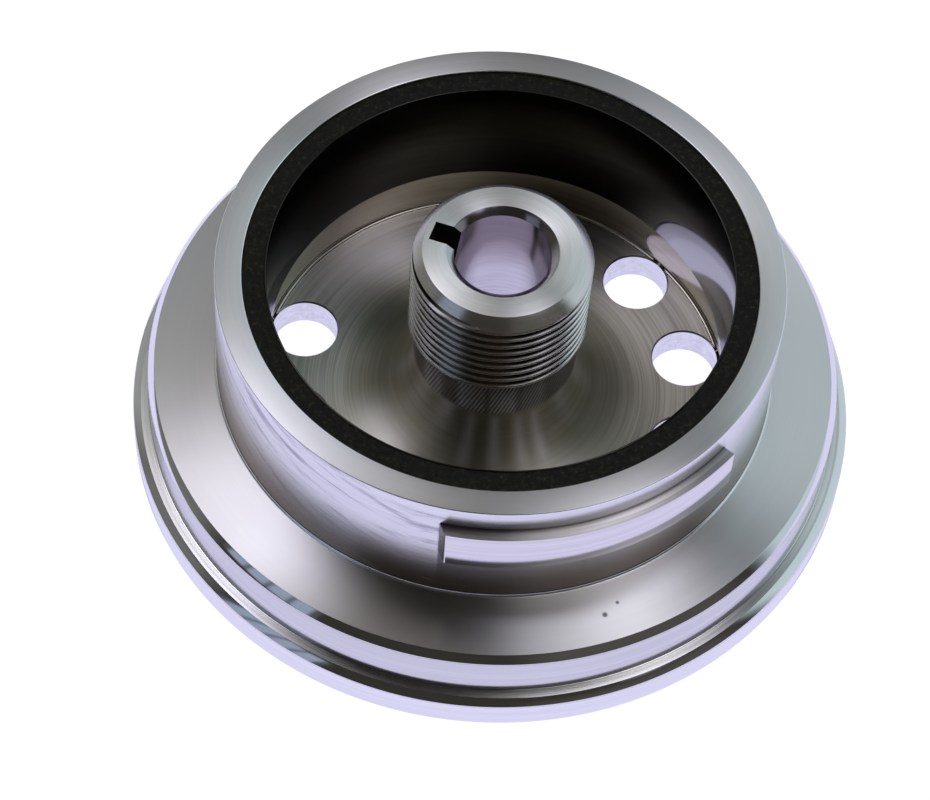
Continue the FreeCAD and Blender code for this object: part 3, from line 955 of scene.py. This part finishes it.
# Soft panels of light round the room: the middle across and up, the half width across and up, the softness
# of the edge, all in degrees, then the colour and the number of panes.
PANELS = [
    ("softbox", 163, 59, 25, 10, 4, (1.46, 1.45, 1.74), 0),
    ("back_softbox", 125, 65, 35, 13, 3, (0.98, 0.96, 0.96), 0),
    ("front_softbox", -16, 60, 22, 8, 7, (1.15, 1.15, 1.36), 0),
    ("crown", -15, 70, 50, 6, 5, (1.30, 1.28, 1.28), 0),
    ("top", 52, 77, 14, 8, 5, (3.20, 3.25, 3.60), 0),
    ("window", 38, 20, 45, 24, 6, (0.50, 0.60, 0.65), 0),
    ("window_upper", 53, 52, 29, 6, 5, (0.70, 0.84, 0.88), 0),
    ("behind", 100, 20, 14, 22, 8, (0.12, 0.13, 0.12), 0),
    ("left_wall", 134, 22, 24, 24, 8, (0.27, 0.28, 0.27), 0),
    ("left_end", 177, 18, 17, 22, 8, (0.12, 0.125, 0.12), 0),
    ("panes", -146, 30, 14, 20, 2, (0.27, 0.32, 0.44), 4),
    ("front_right", -45, 22, 28, 22, 8, (0.04, 0.04, 0.035), 0),
]


PANE_EDGE = 1.8
BAR_LEVEL = 0.15


class World(Tree):
    """The room's light, which reaches everything but the camera."""

    def __init__(self, name):
        self.world = bpy.data.worlds.new(name)
        self.world.use_nodes = True
        super().__init__(self.world.node_tree)
        self.tree.nodes.clear()
        split = self.add("ShaderNodeSeparateXYZ")
        self.link(self.add("ShaderNodeTexCoord").outputs["Generated"], split.inputs[0])
        self.x, self.y, self.z = split.outputs

    def fade(self, value, half, softness):
        """1 inside plus or minus half, falling smoothly to 0 over the softness at the edge."""
        node = self.add("ShaderNodeMapRange", interpolation_type="SMOOTHSTEP")
        self.link(self.math("ABSOLUTE", value), node.inputs["Value"])
        node.inputs["From Min"].default_value = half - softness
        node.inputs["From Max"].default_value = half + softness
        node.inputs["To Min"].default_value = 1.0
        node.inputs["To Max"].default_value = 0.0
        return node.outputs["Result"]

    def panel(self, across, up, half_across, half_up, softness, panes):
        """Level of one panel, with darker bars between its panes."""
        degree = 180.0 / math.pi
        cosine, sine = math.cos(math.radians(across)), math.sin(math.radians(across))
        ahead = self.math("MULTIPLY_ADD", self.x, cosine, self.math("MULTIPLY", self.y, sine))
        side = self.math("MULTIPLY_ADD", self.y, cosine, self.math("MULTIPLY", self.x, -sine))
        turn = self.math("MULTIPLY", self.math("ARCTAN2", side, ahead), degree)
        rise = self.math("MULTIPLY_ADD", self.math("ARCSINE", self.z), degree, -up)
        level = self.fade(rise, half_up, softness)
        level = self.math("MULTIPLY", level, self.fade(turn, half_across, softness))
        if panes:
            wave = self.math("SINE", self.math("MULTIPLY", turn, math.pi * panes / (2 * half_across)))
            clear = self.math("MINIMUM", self.math("MULTIPLY", self.math("ABSOLUTE", wave), PANE_EDGE), 1.0)
            level = self.math("MULTIPLY", level, self.math("MULTIPLY_ADD", clear, 1 - BAR_LEVEL, BAR_LEVEL))
        return level

    def plus(self, total, more):
        """Sum of two vectors; the second is an output or three numbers."""
        node = self.add("ShaderNodeVectorMath", operation="ADD")
        self.link(total, node.inputs[0])
        if isinstance(more, tuple):
            node.inputs[1].default_value = more
        else:
            self.link(more, node.inputs[1])
        return node.outputs[0]

    def shade(self, panels, room):
        """Sum of the panels over the room's own level; the camera sees plain white instead."""
        total = None
        for _, across, up, half_across, half_up, softness, colour, panes in panels:
            tinted = self.add("ShaderNodeVectorMath", operation="SCALE")
            tinted.inputs[0].default_value = colour
            self.link(self.panel(across, up, half_across, half_up, softness, panes), tinted.inputs["Scale"])
            total = tinted.outputs[0] if total is None else self.plus(total, tinted.outputs[0])
        around = self.add("ShaderNodeBackground")
        self.link(self.plus(total, room), around.inputs[0])
        seen = self.add("ShaderNodeBackground")
        self.fill(seen.inputs, [SEEN_COLOUR])
        to_camera = self.add("ShaderNodeLightPath").outputs["Is Camera Ray"]
        shown = self.mix_shader(to_camera, around.outputs[0], seen.outputs[0])
        self.link(shown, self.add("ShaderNodeOutputWorld").inputs[0])
        return self.world


ROOM_LEVEL = (0.034, 0.032, 0.028)
SCENE.world = World("studio").shade(PANELS, ROOM_LEVEL)
